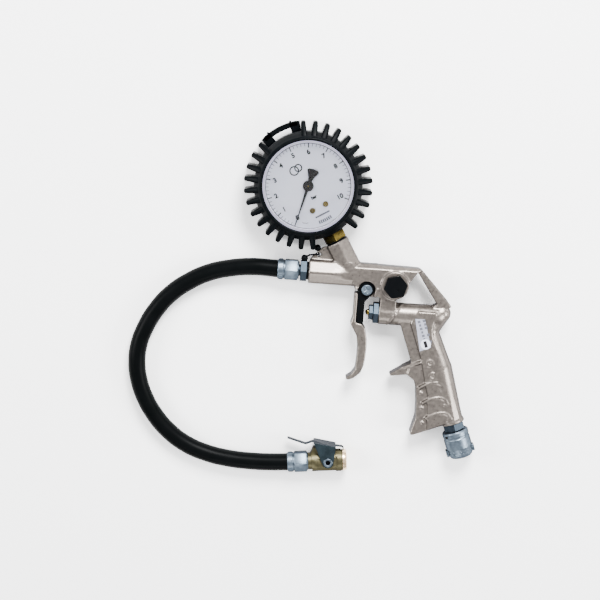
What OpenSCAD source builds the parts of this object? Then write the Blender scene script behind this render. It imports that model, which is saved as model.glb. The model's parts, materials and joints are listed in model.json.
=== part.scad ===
// Pistol-grip tyre inflator with a dial gauge in a finned rubber boot, a short hose and a clip-on chuck.
// It lies on its side: X runs along the barrel towards the grip, Y towards the gauge, Z up from the surface.
// Inside the modules, x and y are measured from the trigger pivot's datum and z from the gun's middle plane.

/* [Layout] */
// Height of the gun's middle plane above the surface
mid_height = 13.5; // [13.4:0.1:15]
// Height of the trigger pivot above the datum
pivot_y = 1.6; // [0:0.1:3]
// Angle of the gauge stem and its boss
stem_angle = -59; // [-65:1:-53]
// Length of the gauge stem between the gauge case and the boss face
stem_out = 13.6; // [12:0.2:18]
// Lean of the grip and air inlet from the vertical
grip_lean = 20; // [16:1:24]

/* [Barrel and boss] */
// Width across the flats of the six-sided barrel
barrel_flats = 20; // [19:0.5:22]
// Diameter that rounds the barrel's corners
barrel_round = 22; // [21:0.5:23]
// Height of the barrel axis
barrel_y = 13.4; // [13:0.1:14]
// Distance of the barrel's front face from the datum
barrel_front = 50; // [48:0.5:54]
// Width across the flats of the gauge boss
boss_flats = 19; // [18:0.5:21]
// Half thickness of the plate behind the barrel
block_half = 9; // [8:0.5:10]
// Chamfer along the top edge of that plate
block_chamfer = 4.5; // [3:0.5:5]
// Thickness of the gusset between barrel and boss
gusset_t = 5; // [3:0.5:7]
// Half thickness of the rear strut
strut_half = 6; // [5:0.5:8]

/* [Valve] */
// Height of the valve housing's axis
valve_y = -18.3; // [-19:0.1:-18]
// Outer radius of the valve housing
valve_r = 9.75; // [9.5:0.05:10.5]
// Radius of the valve chamber
chamber_r = 6.5; // [6:0.1:7]
// Radius of the valve stem
stem_r = 2.4; // [2:0.1:2.8]
// Travel of the valve stem
valve_travel = 3; // [2:0.1:3.4]
// Radial clearance of a sliding or turning shaft
shaft_gap = 0.06; // [0.02:0.01:0.1]

/* [Trigger] */
// Radius of the trigger's eye
eye_r = 6.5; // [6:0.1:6.8]
// Half width of the trigger across the gun
trigger_half = 7.4; // [6.5:0.1:8]
// Half thickness of the pivot lug between the trigger's cheeks
lug_half = 3.9; // [3:0.1:4.5]
// Radius of the pivot screw
pivot_r = 2.5; // [2:0.1:3]

/* [Bleed button] */
// Place of the button along the gun
button_x = 23.4; // [22:0.1:24]
// Place of the button across the gun
button_y = 6.9; // [6:0.1:8]
// Radius over the corners of the six-sided button
button_r = 10.2; // [9:0.1:11]
// Travel of the button
button_travel = 2.5; // [1.5:0.1:2.5]

/* [Grip] */
// Half thickness of the grip's front band
band_half = 8; // [7:0.5:9]
// Half thickness of the grip's side panel
panel_half = 10; // [9.5:0.1:10.5]
// Half thickness of the finger hook
hook_half = 6.5; // [5:0.5:8]
// Radius of the inlet thread
inlet_thread_r = 6.5; // [6:0.1:7]

/* [Coupler] */
// Width across the flats of the inlet adapter
adapter_flats = 17; // [15:0.5:18]
// Length of the adapter's hexagon
adapter_len = 6; // [4:0.5:7]
// Radius of the coupler sleeve
sleeve_r = 11.35; // [11:0.05:12]
// Length of the coupler sleeve
sleeve_len = 24; // [20:0.5:28]
// Radius over the coupler's two lugs
lug_r = 13.1; // [12.6:0.1:13.3]
// Radius of the coupler's mouth
mouth_r = 6; // [5:0.1:7]

/* [Gauge] */
// Place of the gauge centre along the gun
gauge_x = -55.6; // [-58:0.1:-53]
// Place of the gauge centre across the gun
gauge_y = 86; // [84:0.1:88]
// Outer radius of the gauge case
case_r = 40; // [40:0.1:41]
// Wall of the gauge case
case_wall = 1.2; // [0.8:0.1:1.6]
// Back of the gauge case, from the middle plane
case_back = -10.8; // [-11:0.1:-10.4]
// Front edge of the gauge case, from the middle plane
case_front = 17; // [16.5:0.1:18]
// How far the bezel's lip covers the case
window_lip = 2.2; // [2:0.1:3.5]
// Thickness of the lens
lens_t = 2; // [1.5:0.1:2.5]
// Back of the dial, from the middle plane
dial_z = 13; // [12.6:0.1:13.2]
// Thickness of the dial
dial_t = 0.8; // [0.5:0.1:1]
// Width of the brass gauge stem across its flats
stem_flats = 13; // [13:0.1:14]

/* [Boot] */
// Wall of the boot round the gauge case
boot_wall = 5.3; // [4:0.1:6]
// Length of a fin
fin_len = 8.4; // [5:0.1:10]
// Half width of a fin at its root
fin_root = 2.4; // [1.8:0.1:2.8]
// Half width of a fin at its tip
fin_tip = 1.35; // [1:0.05:1.6]
// Height of the hanging loop over the boot's wall
loop_rise = 9.1; // [8:0.1:11]
// Half thickness of the hanging loop
loop_half = 2.5; // [1.5:0.1:5]
// Height of the hanging slot's outer edge over the boot's wall
slot_rise = 4.1; // [3:0.1:5.5]

/* [Hose and chuck] */
// Outer diameter of the hose
hose_d = 15; // [14:0.5:16]
// Radius of the hose ferrules
ferrule_r = 8.5; // [8:0.1:9]
// Length of each ferrule
ferrule_len = 18; // [15:0.5:20]
// Radius of the chuck body
chuck_r = 9.8; // [9.5:0.1:10]
// Length of the chuck body
chuck_len = 33.3; // [33:0.1:36]
// Radius of the chuck's mouth
socket_r = 4.2; // [4:0.05:4.5]
// Thickness of the clip's sheet
clip_t = 0.9; // [0.7:0.1:1.1]

/* [Hidden] */
$fn = 64;
bite = 0.01;
cut = 1;
deg_lean = grip_lean - 90;
origin_x = 2.8;
origin_y = 0.2;
gauge_at = [gauge_x, gauge_y, 0];
inlet_at = [83, -109.6, 0];
button_boss_z = 10.5;
button_bottom = button_boss_z + button_travel + 0.5;
button_top = button_bottom + 5.5;
seat_x = 29;
seat_t = 3;
head_r = 4.8;
head_t = 4;
spring_x = seat_x + head_t + 1;
spring_len = 4 * valve_travel;
gland_x = 11.5;
gland_t = 4.5;
gland_nose = 5;
gland_hole_r = stem_r + shaft_gap;
trigger_face_x = -7.2;
strip_x = -10;
arm_x = -0.9;
bezel_t = 3.5;
window_r = case_r - window_lip;
boot_r = case_r + boot_wall;
fin_r = boot_r + fin_len;
loop_r = boot_r + loop_rise;
slot_r = boot_r + slot_rise;
boss_end = (gauge_y - barrel_y) / sin(-stem_angle);
dial_zero = 255.6;
bezel_front = case_front + bezel_t;
bezel_lip = 1.2;
lens_z = bezel_front - bezel_lip - lens_t - 0.05;
lens_r = case_r - 1.6;
boot_back = -mid_height;
boot_front = bezel_front + 1;
fin_pitch = 360 / 32;
loop_angle = stem_angle + 180;
socket_thread_r = 6.4;
stem_reach = case_r + stem_out;
socket_shoulder = case_r + 5.6;
socket_root_r = 7;
socket_start = 24;
dial_post_r = 2.2;
washer_t = 1.2;
block_u = 12;
block_top = 6;
block_bottom = -6.6;
block_side = 6.6;
post_u = 19.9;
post_v = 6.1;
tube_r = 32.5;
tube_w = 3;
tube_h = 10;
tube_start = asin(socket_root_r / tube_r);
tube_end = 248;
pinion_teeth = 8;
sector_teeth = 72;
gear_module = 0.5;
pinion_pitch_r = pinion_teeth * gear_module / 2;
sector_pitch_r = sector_teeth * gear_module / 2;
sector_u = -(pinion_pitch_r + sector_pitch_r);
arbor_r = 0.6;
tail_len = 8;
tail_angle = -105;
tail_u = sector_u + tail_len * cos(tail_angle);
tail_v = tail_len * sin(tail_angle);
link_end_u = -13;
link_end_v = -25.5;
plate_t = 1.2;
back_plate_z = -3;
nipple_flats = 17;
nipple_thread_r = 6.5;
hose_spigot_r = 4.9;
chuck_neck_r = 7.4;
nipple_x = -barrel_front - 1.7;
nipple_t = 5.3;
ferrule_x = nipple_x - nipple_t - 1.2;
hose_exit_x = ferrule_x - ferrule_len;
chuck_tilt = 6.4;
socket_depth = 10;
seal_t = 2.6;
chuck_mouth = [-5.5, -149.6, chuck_r + 0.4 - mid_height];
chuck_end = chuck_mouth - (chuck_len + ferrule_len) * [cos(chuck_tilt), sin(chuck_tilt), 0];
rivet_s = -16.3;
rivet_r = 3;
rivet_hole_r = 2.15;
clip_in = 8.3;
clip_out = clip_in + clip_t;
lay_z = hose_d / 2 - mid_height;
hose_points = [
    [hose_exit_x, barrel_y, 0], [-98, 13.4, lay_z + 4.5], [-119, 10, lay_z + 2], [-135, 5, lay_z + 0.8],
    [-150, -3, lay_z], [-165, -14.5, lay_z], [-177, -29, lay_z], [-186, -46, lay_z],
    [-191, -62.5, lay_z], [-191.6, -78, lay_z], [-189.3, -91.5, lay_z], [-183.6, -106.5, lay_z],
    [-174.3, -121.5, lay_z], [-162, -134.8, lay_z], [-146.5, -145.6, lay_z], [-128, -152.6, lay_z + 0.4],
    [-107, -156.2, lay_z + 1.2], [-87.5, -157, lay_z + 1.9], [-71, -156.5, lay_z + 2.4], chuck_end
];

// ---- frames and shared shapes ----
module gun() translate([origin_x, origin_y, mid_height]) children();
module along(at, angle) translate(at) rotate([0, 0, angle]) rotate([0, 90, 0]) children();
module stem_frame() translate(gauge_at) rotate([0, 0, stem_angle]) children();
module inlet_frame() along(inlet_at, deg_lean) children();
module chuck_frame() translate(chuck_mouth) rotate([0, 0, chuck_tilt]) children();
module slab(low, high) translate([0, 0, low]) linear_extrude(high - low) children();
module rod(r, x0, x1) translate([x0, 0, 0]) rotate([0, 90, 0]) cylinder(r = r, h = x1 - x0);
module six(flats, x0, x1) translate([x0, 0, 0]) rotate([0, 90, 0])
    cylinder(r = flats / 2 / cos(30), h = x1 - x0, $fn = 6);
module pipe(outer, inner, x0, x1) difference() {
    rod(outer, x0, x1);
    rod(inner, x0 - cut, x1 + cut);
}
module rounded_six(flats, round_d, x0, x1) intersection() {
    six(flats, x0, x1);
    rod(round_d / 2, x0 - cut, x1 + cut);
}
module limb(p, rp, q, rq) {
    run = q - p;
    translate(p) sphere(rp);
    translate(q) sphere(rq);
    translate(p) rotate([0, 0, atan2(run.y, run.x)]) rotate([0, 90, 0])
        cylinder(r1 = rp - 0.1, r2 = rq - 0.1, h = norm(run));
}
module gear(teeth, pitch_r) {
    circle(pitch_r - 0.6);
    for (k = [0 : teeth - 1]) rotate(360 * k / teeth) tooth(pitch_r);
}
module tooth(pitch_r) polygon([
    [pitch_r - 0.9, -0.36], [pitch_r + 0.4, -0.16], [pitch_r + 0.4, 0.16], [pitch_r - 0.9, 0.36]]);

// ---- the casting ----
module block_outline() polygon([
    [-12, barrel_y + 10], [43.1, 22.3], [45.8, 20.8], [41.9, 19.1], [25.4, -5.6], [25.4, valve_y],
    [gland_x + 0.5, valve_y], [gland_x + 0.5, -5], [6.2, -1.7], [6.2, barrel_y - 8], [-12, barrel_y - 8]]);
module block_section() polygon([
    [-30, -block_half], [24.2 - block_chamfer, -block_half], [24.2, -block_half + block_chamfer],
    [24.2, block_half - block_chamfer], [24.2 - block_chamfer, block_half], [-30, block_half]]);
module block() intersection() {
    slab(-block_half, block_half) block_outline();
    translate([-20, 0, 0]) rotate([90, 0, 90]) linear_extrude(70) block_section();
}
module strut() slab(-strut_half, strut_half) polygon([
    [40, 16.3], [41.9, 19.1], [41.5, 22.2], [43.1, 22.3], [45.8, 20.8], [69.2, -3.7], [73, -8.5],
    [66, -14], [57, -12], [58, -8], [60.8, -7.8], [41.9, 19.1]]);
module band_outline() polygon([
    [29, -24], [66, -16], [60, -28], [61, -34], [73.5, -62], [88.5, -105.5], [48, -121.7], [46.3, -120.3],
    [50.2, -105.6], [49.8, -92.6], [48.4, -79.9], [46.3, -74], [39.9, -69.2], [42.6, -58.1], [31.8, -28.9]]);
module panel_outline() polygon([
    [39, -24.4], [45, -14], [60, -14], [58, -28], [59, -36], [70, -62], [84, -106], [60.5, -115.5],
    [58.6, -85.2], [54, -68.5], [50.8, -55.1]]);
module hook_outline() polygon([
    [46, -57], [42.6, -58.6], [34.3, -63.6], [25.3, -69.6], [25, -70.7], [26.2, -71.3], [39.9, -69.2],
    [46.3, -74], [50, -70]]);
module grip_back() {
    limb([80.8, -104, 0], 9.8, [67.4, -63, 0], 11.2);
    limb([67.4, -63, 0], 11.1, [54.5, -30.5, 0], 9.3);
    limb([54.5, -30.5, 0], 9.2, [65.3, -15.2, 0], 8);
}
module casting_solids() {
    translate([0, barrel_y, 0]) rounded_six(barrel_flats, barrel_round, -barrel_front, 8);
    stem_frame() rounded_six(boss_flats, boss_flats + 2.4, stem_reach, boss_end);
    slab(-gusset_t / 2, gusset_t / 2) polygon([
        [-barrel_front + 1, barrel_y + 5], [-barrel_front + 1, 24.6], [-barrel_front + 2, 26],
        [-39.2, 34.6], [-30, 36], [-20, barrel_y]]);
    block();
    strut();
    translate([0, pivot_y, -block_half]) cylinder(r = 10.3, h = 2 * block_half);
    translate([button_x, button_y, 0]) cylinder(r = 11.8, h = button_boss_z);
    translate([0, valve_y, 0]) rod(valve_r, gland_x, 61);
    translate([61, valve_y, 0]) sphere(valve_r - 0.1);
    slab(-band_half, band_half) band_outline();
    slab(-panel_half, panel_half) panel_outline();
    slab(-hook_half, hook_half) hook_outline();
    grip_back();
    inlet_frame() translate([0, 0, -12]) cylinder(r = 9.6, h = 12);
    inlet_frame() translate([0, 0, -2.5]) cylinder(r = 10.4, h = 2.5);
}
module trigger_pockets() {
    for (side = [-1, 1]) translate([0, pivot_y, side * (lug_half + 10)])
        cylinder(r = eye_r + 0.7, h = 20, center = true);
    for (side = [-1, 1]) translate([-12, -30, side > 0 ? lug_half : -lug_half - 20])
        cube([12 + eye_r + 0.5, 30 + pivot_y, 20]);
    translate([-12, -30, -20]) cube([12 - eye_r + 0.3, 30 + pivot_y - 1, 40]);
    translate([-12, -30, -20]) cube([22.8, 30 - 5, 40]);
}
module casting_bores() {
    translate([0, barrel_y, 0]) {
        rod(nipple_thread_r + 0.05, -barrel_front - cut, -barrel_front + 13);
        rod(3, -barrel_front, 24);
    }
    stem_frame() {
        rod(socket_thread_r + 0.05, stem_reach - cut, stem_reach + 13);
        rod(2, stem_reach, stem_reach + 30);
    }
    translate([0, pivot_y, -20]) cylinder(r = pivot_r, h = 40);
    translate([button_x, button_y, 3]) cylinder(r = 4, h = 20);
    translate([button_x, button_y, -3]) cylinder(r = 2.6, h = 10);
    translate([0, valve_y, 0]) {
        rod(chamber_r + 0.5, gland_x - cut, 20);
        rod(chamber_r, gland_x, spring_x + spring_len);
        rod(4, 40, 58);
    }
    translate([24, barrel_y, 0]) rotate([90, 0, 0]) cylinder(r = 2.4, h = barrel_y - valve_y);
    inlet_frame() {
        translate([0, 0, -12]) cylinder(r = inlet_thread_r, h = 40);
        translate([0, 0, -98]) cylinder(r = 4, h = 90);
    }
    translate([-42.3, 28, -10]) cylinder(r = 1.9, h = 20);
}
module gun_body() color("#b5aea6") gun() difference() {
    casting_solids();
    trigger_pockets();
    inlet_frame() translate([-30, -30, 0]) cube([60, 60, 40]);
    casting_bores();
}

// ---- trigger ----
module trigger_lever() color("#b9b2aa") gun() slab(-trigger_half, trigger_half) polygon([
    [strip_x, -1.5], [strip_x, -9], [-9.8, -21.8], [-11.6, -28.5], [-5.3, -39.3], [-4, -48], [-4, -57.5],
    [-4.6, -67.1], [-7.6, -72], [-12, -75.2], [-12.4, -76.6], [-9.2, -77], [-5.7, -75.5], [0, -70.3],
    [2.4, -64], [3.3, -56.9], [3.7, -48], [3.3, -40.5], [1.1, -31], [-1.6, -28.4], [trigger_face_x, -27],
    [trigger_face_x, -1.5]]);
module insert_cheek(low, high) slab(low, high) difference() {
    union() {
        translate([0, pivot_y]) circle(eye_r);
        polygon([[trigger_face_x, pivot_y], [trigger_face_x, -27], [-1.7, -28.4], [arm_x, -26.5],
            [arm_x, -9], [3.2, -4], [eye_r - 0.3, pivot_y]]);
    }
    translate([0, pivot_y]) circle(pivot_r + shaft_gap);
}
module trigger_insert() color("#1c1b1c") gun() {
    insert_cheek(lug_half + 0.35, trigger_half);
    insert_cheek(-trigger_half, -lug_half - 0.35);
    slab(-lug_half - 1, lug_half + 1)
        polygon([[trigger_face_x, -9], [trigger_face_x, -27], [-1.7, -28.4], [arm_x, -26.5], [arm_x, -9]]);
}
module pivot_screw() color("#c9ced2") gun() translate([0, pivot_y, 0]) difference() {
    union() {
        translate([0, 0, -trigger_half - 3.2]) cylinder(r = pivot_r, h = 2 * trigger_half + 3.4);
        translate([0, 0, trigger_half + 0.2]) cylinder(r = 4.5, h = 2.6);
    }
    for (turn = [20, 110]) translate([0, 0, trigger_half + 3]) rotate([0, 0, turn])
        cube([5.2, 1, 2.4], center = true);
}
module pivot_nut() color("#b3b8bc") gun() translate([0, pivot_y, -trigger_half - 3.2]) difference() {
    cylinder(r = 4.6, h = 3, $fn = 6);
    translate([0, 0, -cut]) cylinder(r = pivot_r, h = 5);
}

// ---- valve ----
module on_valve() gun() translate([0, valve_y, 0]) children();
module valve_gland_nut() color("#7d8890") on_valve() difference() {
    union() {
        six(17, gland_x - gland_t, gland_x);
        six(12, gland_x - gland_t - gland_nose + 1.4, gland_x - gland_t);
        rod(chamber_r + 0.45, gland_x, gland_x + 8);
    }
    rod(gland_hole_r, -5, 40);
}
module valve_stem() color("#a98f45") on_valve() {
    rod(stem_r, 0.4 + stem_r, seat_x + 0.5);
    translate([0.4 + stem_r, 0, 0]) sphere(stem_r);
    rod(head_r, seat_x + 1.7, seat_x + 1.7 + head_t - 0.7);
    rod(1.4, seat_x, seat_x + 2);
}
module valve_seal() color("#26262a") on_valve() pipe(head_r, 1.4, seat_x + 0.5, seat_x + 1.7);
module valve_seat() color("#b69a4c") on_valve()
    pipe(chamber_r, stem_r + 0.8, seat_x + 0.5 - seat_t, seat_x + 0.5);
module valve_spring() color("#c8ccd0") on_valve() pipe(4.2, 3.2, spring_x, spring_x + spring_len);

// ---- bleed button ----
module on_button() gun() translate([button_x, button_y, 0]) children();
module bleed_button() color("#17181b") on_button() difference() {
    rotate([0, 0, 14]) intersection() {
        translate([0, 0, button_bottom]) cylinder(r = button_r, h = button_top - button_bottom, $fn = 6);
        translate([0, 0, button_bottom]) cylinder(r1 = button_r + 5, r2 = button_r - 0.6,
            h = button_top - button_bottom);
    }
    translate([0, 0, button_bottom - cut]) cylinder(r = 6.2, h = 3.5 + cut);
    translate([2.2, -2.6, button_top - 0.5]) cylinder(r = 0.9, h = 2);
    translate([0, 0, button_bottom]) cylinder(r = 1.6, h = 4.4);
}
module bleed_pin() color("#b69a4c") on_button() translate([0, 0, 1.5])
    cylinder(r = 1.6, h = button_bottom + 4.4 - 1.5);
module bleed_gland() color("#9aa0a5") on_button() difference() {
    union() {
        translate([0, 0, 4]) cylinder(r = 3.95, h = button_boss_z - 4);
        translate([0, 0, button_boss_z]) cylinder(r = 6, h = 0.6);
    }
    cylinder(r = 1.6 + shaft_gap, h = 30);
}
module bleed_spring() color("#c8ccd0") on_button() translate([0, 0, button_boss_z + 0.6]) difference() {
    cylinder(r = 4, h = button_bottom + 3.5 - button_boss_z - 0.6);
    translate([0, 0, -cut]) cylinder(r = 3.1, h = 20);
}

// ---- inlet and coupler ----
module inlet_adapter() color("#8d979e") gun() inlet_frame() difference() {
    union() {
        translate([0, 0, -11.5]) cylinder(r = inlet_thread_r - 0.05, h = 11.5);
        cylinder(r = adapter_flats / 2 / cos(30), h = adapter_len, $fn = 6);
        translate([0, 0, adapter_len]) cylinder(r = 8, h = 8);
    }
    translate([0, 0, -20]) cylinder(r = 3.5, h = 40);
}
sleeve_start = adapter_len + 0.7;
sleeve_end = sleeve_start + sleeve_len;
module coupler_sleeve() color("#b9c3cc") gun() inlet_frame() difference() {
    union() {
        translate([0, 0, sleeve_start]) rotate_extrude() polygon([
            [0, 0], [sleeve_r - 1, 0], [sleeve_r, 1], [sleeve_r, sleeve_len - 4.5],
            [sleeve_r - 2.6, sleeve_len], [0, sleeve_len]]);
        for (turn = [90, 270]) rotate([0, 0, turn]) translate([0, 0, sleeve_end - 8.5])
            intersection() {
                translate([0, -4.5, 0]) cube([lug_r, 9, 6.5]);
                cylinder(r = lug_r, h = 6.5);
            }
    }
    translate([0, 0, sleeve_start - cut]) cylinder(r = 8.05, h = 7.35 + cut);
    translate([0, 0, sleeve_start]) cylinder(r = 5, h = sleeve_len);
    translate([0, 0, sleeve_end - 14]) cylinder(r = mouth_r, h = 20);
    translate([0, 0, sleeve_end - 16.5]) cylinder(r = mouth_r + 1.5, h = 2.5);
}
module coupler_seal() color("#202022") gun() inlet_frame() translate([0, 0, sleeve_end - 16.5])
    difference() {
        cylinder(r = mouth_r + 1.45, h = 2.5);
        translate([0, 0, -cut]) cylinder(r = 5.2, h = 5);
    }

// ---- gauge ----
module at_gauge() gun() translate(gauge_at) children();
module in_stem() gun() stem_frame() children();
module gauge_case() color("#2a2b2e") in_stem() difference() {
    translate([0, 0, case_back]) cylinder(r = case_r, h = case_front - case_back, $fn = 96);
    translate([0, 0, case_back + case_wall]) cylinder(r = case_r - case_wall, h = 60, $fn = 96);
    rod(socket_root_r + 0.1, 20, case_r + 5);
}
module gauge_bezel() color("#1d1e20") at_gauge() difference() {
    translate([0, 0, case_front]) cylinder(r = case_r, h = bezel_t, $fn = 96);
    translate([0, 0, case_front - cut]) cylinder(r = lens_r + 0.1, h = bezel_t - bezel_lip + cut, $fn = 96);
    cylinder(r = window_r, h = 60, $fn = 96);
}
module gauge_lens() color("#e8eef2") at_gauge() translate([0, 0, lens_z])
    cylinder(r = lens_r, h = lens_t, $fn = 96);
module spacer_ring() color("#cfcde0") at_gauge() translate([0, 0, dial_z + dial_t]) difference() {
    cylinder(r = lens_r - 0.1, h = lens_z - dial_z - dial_t, $fn = 96);
    translate([0, 0, -cut]) cylinder(r = window_r - 1.9, h = 20, $fn = 96);
}
module gauge_dial() color("#e4e6ec") in_stem() difference() {
    translate([0, 0, dial_z]) cylinder(r = lens_r - 0.1, h = dial_t, $fn = 96);
    cylinder(r = 2, h = 40);
    for (side = [-1, 1]) translate([post_u, side * post_v, 0]) cylinder(r = 1.3, h = 40);
}
module dial_screw(side) color("#b08a3e") in_stem() translate([post_u, side * post_v, 0]) difference() {
    union() {
        translate([0, 0, dial_z - 4]) cylinder(r = 1.2, h = 4 + dial_t);
        translate([0, 0, dial_z + dial_t]) cylinder(r = 2.3, h = 1.1);
    }
    translate([0, 0, dial_z + dial_t + 1.1]) cube([6, 0.6, 1], center = true);
}
module dial_screw_1() dial_screw(-1);
module dial_screw_2() dial_screw(1);
module pointer() color("#18181a") at_gauge() rotate([0, 0, dial_zero])
    translate([0, 0, dial_z + dial_t + 1]) difference() {
        union() {
            cylinder(r = 4, h = 1);
            linear_extrude(0.5) polygon([
                [0, -1.5], [16, -0.7], [33, -0.25], [33, 0.25], [16, 0.7], [0, 1.5]]);
            linear_extrude(0.5) intersection() {
                circle(14);
                polygon([[0, 1], [-14, 4.6], [-14, -4.6], [0, -1]]);
            }
        }
        translate([0, 0, -cut]) cylinder(r = arbor_r, h = 5);
    }
module pointer_arbor() color("#c2a14e") in_stem() {
    translate([0, 0, back_plate_z]) cylinder(r = arbor_r, h = dial_z + dial_t + 2 - back_plate_z);
    translate([0, 0, -1]) linear_extrude(3) gear(pinion_teeth, pinion_pitch_r);
}
module gauge_socket() color("#b3923f") in_stem() difference() {
    union() {
        translate([block_u, -block_side, block_bottom])
            cube([30 - block_u, 2 * block_side, block_top - block_bottom]);
        rod(socket_root_r, socket_start, socket_shoulder);
        translate([socket_shoulder, 0, 0]) rotate([45, 0, 0]) translate([0, -stem_flats / 2, -stem_flats / 2])
            cube([stem_reach - washer_t - socket_shoulder, stem_flats, stem_flats]);
        rod(socket_thread_r, stem_reach - washer_t, stem_reach + 12);
        for (side = [-1, 1]) translate([post_u, side * post_v, block_top - 1])
            cylinder(r = dial_post_r, h = dial_z - block_top + 1);
    }
    rod(1.5, 16, 80);
    for (side = [-1, 1]) translate([post_u, side * post_v, dial_z - 4]) cylinder(r = 1.2, h = 10);
}
module socket_washer() color("#26262a") in_stem()
    pipe(8.6, socket_thread_r + 0.1, stem_reach - washer_t, stem_reach);
module tube_profile(inset) translate([tube_r - tube_w / 2 + inset, -tube_h / 2 + inset])
    square([tube_w - 2 * inset, tube_h - 2 * inset]);
module bourdon_tube() color("#b58a4a") in_stem() rotate([0, 0, tube_start])
    rotate_extrude(angle = tube_end - tube_start) difference() {
        tube_profile(0);
        tube_profile(0.4);
    }
module tube_tip() color("#b3923f") in_stem() {
    rotate([0, 0, tube_end]) translate([tube_r - 2, 0, -5.4]) cube([4, 3, 10.8]);
    translate([0, 0, 2.4]) linear_extrude(0.8) polygon([
        [link_end_u - 0.6, link_end_v - 0.4], [link_end_u + 1.4, link_end_v + 0.6],
        [tube_r * cos(tube_end + 8), tube_r * sin(tube_end + 8)],
        [tube_r * cos(tube_end + 4), tube_r * sin(tube_end + 4)]]);
}
module link_bar() color("#c2a14e") in_stem() translate([0, 0, 1.5]) linear_extrude(0.6) difference() {
    union() {
        for (end = [[tail_u, tail_v], [link_end_u, link_end_v]]) translate(end) circle(1.3);
        translate([tail_u, tail_v]) rotate(atan2(link_end_v - tail_v, link_end_u - tail_u))
            translate([0, -0.8]) square([norm([link_end_u - tail_u, link_end_v - tail_v]), 1.6]);
    }
    for (end = [[tail_u, tail_v], [link_end_u, link_end_v]]) translate(end) circle(0.65);
}
module sector_gear() color("#c2a14e") in_stem() translate([sector_u, 0, 0]) {
    linear_extrude(1.2) {
        difference() {
            intersection() {
                circle(sector_pitch_r - 0.6);
                polygon([
                    [-2, 0], [30 * cos(-38), 30 * sin(-38)], [32, 0], [30 * cos(7), 30 * sin(7)], [-2, 2]]);
            }
            intersection() {
                circle(sector_pitch_r - 4);
                polygon([[4, -1], [30 * cos(-31), 30 * sin(-31)], [32, -6], [30, 0], [4, 0]]);
            }
        }
        circle(3);
        rotate(tail_angle) translate([0, -1.2]) square([tail_len, 2.4]);
        rotate(tail_angle) translate([tail_len, 0]) circle(1.4);
        for (k = [-7 : 0]) rotate(5 * k - 2.5) tooth(sector_pitch_r);
        rotate(2.5) tooth(sector_pitch_r);
    }
    translate([0, 0, back_plate_z]) cylinder(r = arbor_r, h = block_top + plate_t - back_plate_z);
    rotate([0, 0, tail_angle]) translate([tail_len, 0, 0]) cylinder(r = 0.6, h = 2.1);
}
module movement_plate(low, far_u) difference() {
    translate([-26, -10.5, low]) cube([26 + far_u, 21, plate_t]);
    translate([0, 0, low - cut]) cylinder(r = arbor_r + 0.05, h = 4);
    translate([sector_u, 0, low - cut]) cylinder(r = arbor_r + 0.05, h = 4);
    for (end = pillar_ends) translate([end[0], end[1], low - cut]) cylinder(r = 0.9, h = 4);
}
pillar_ends = [[-23.5, 7.5], [8, -7.5]];
module movement_front_plate() color("#c7a552") in_stem() movement_plate(block_top, 14.5);
module movement_back_plate() color("#c7a552") in_stem() movement_plate(back_plate_z, block_u - 0.5);
module pillar(end) color("#b3923f") in_stem() translate([end[0], end[1], 0]) {
    translate([0, 0, back_plate_z]) cylinder(r = 0.9, h = block_top + plate_t - back_plate_z);
    translate([0, 0, back_plate_z + plate_t]) cylinder(r = 1.5, h = block_top - back_plate_z - plate_t);
}
module movement_pillar_1() pillar(pillar_ends[0]);
module movement_pillar_2() pillar(pillar_ends[1]);
module hairspring() color("#c8ccd0") in_stem() translate([0, 0, 3.6]) {
    for (turn = [0 : 2]) difference() {
        cylinder(r = 4.6 - turn, h = 0.8);
        translate([0, 0, -cut]) cylinder(r = 4.4 - turn, h = 4);
    }
    translate([2.5, -0.1, 0]) cube([2, 0.2, 0.8]);
}

// ---- boot ----
module fin() {
    polygon([[boot_r - 1.5, -fin_root], [fin_r - fin_tip, -fin_tip], [fin_r - fin_tip, fin_tip],
        [boot_r - 1.5, fin_root]]);
    translate([fin_r - fin_tip, 0]) circle(fin_tip, $fn = 32);
}
module boot_fins() for (k = [2 : 14]) for (side = [-1, 1])
    rotate(loop_angle + side * k * fin_pitch) fin();
module hanging_loop() rotate(loop_angle) difference() {
    union() {
        intersection() {
            circle(loop_r, $fn = 96);
            polygon([[30, -11], [loop_r - 3, -19.5], [60, -14], [60, 14], [loop_r - 3, 19.5], [30, 11]]);
        }
        for (side = [-1, 1]) rotate(side * 10.5) translate([loop_r, 0]) circle(1.1, $fn = 32);
    }
    intersection() {
        difference() {
            circle(slot_r, $fn = 96);
            circle(boot_r + 0.3, $fn = 96);
        }
        polygon([[0, 0], [60, -9.4], [60, 9.4]]);
    }
}
module gauge_boot() color("#121316") at_gauge() difference() {
    union() {
        translate([0, 0, boot_back]) cylinder(r = boot_r, h = boot_front - boot_back, $fn = 96);
        slab(boot_back + 1, boot_front - 4) boot_fins();
        slab(-loop_half, loop_half) difference() {
            hanging_loop();
            circle(boot_r - 1, $fn = 96);
        }
    }
    translate([0, 0, case_back]) cylinder(r = case_r, h = bezel_front - case_back, $fn = 96);
    translate([0, 0, boot_back - cut]) cylinder(r = 31, h = 10);
    cylinder(r = window_r + 0.2, h = 60, $fn = 96);
    rotate([0, 0, stem_angle]) rod(7.6, 30, 60);
}

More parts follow.
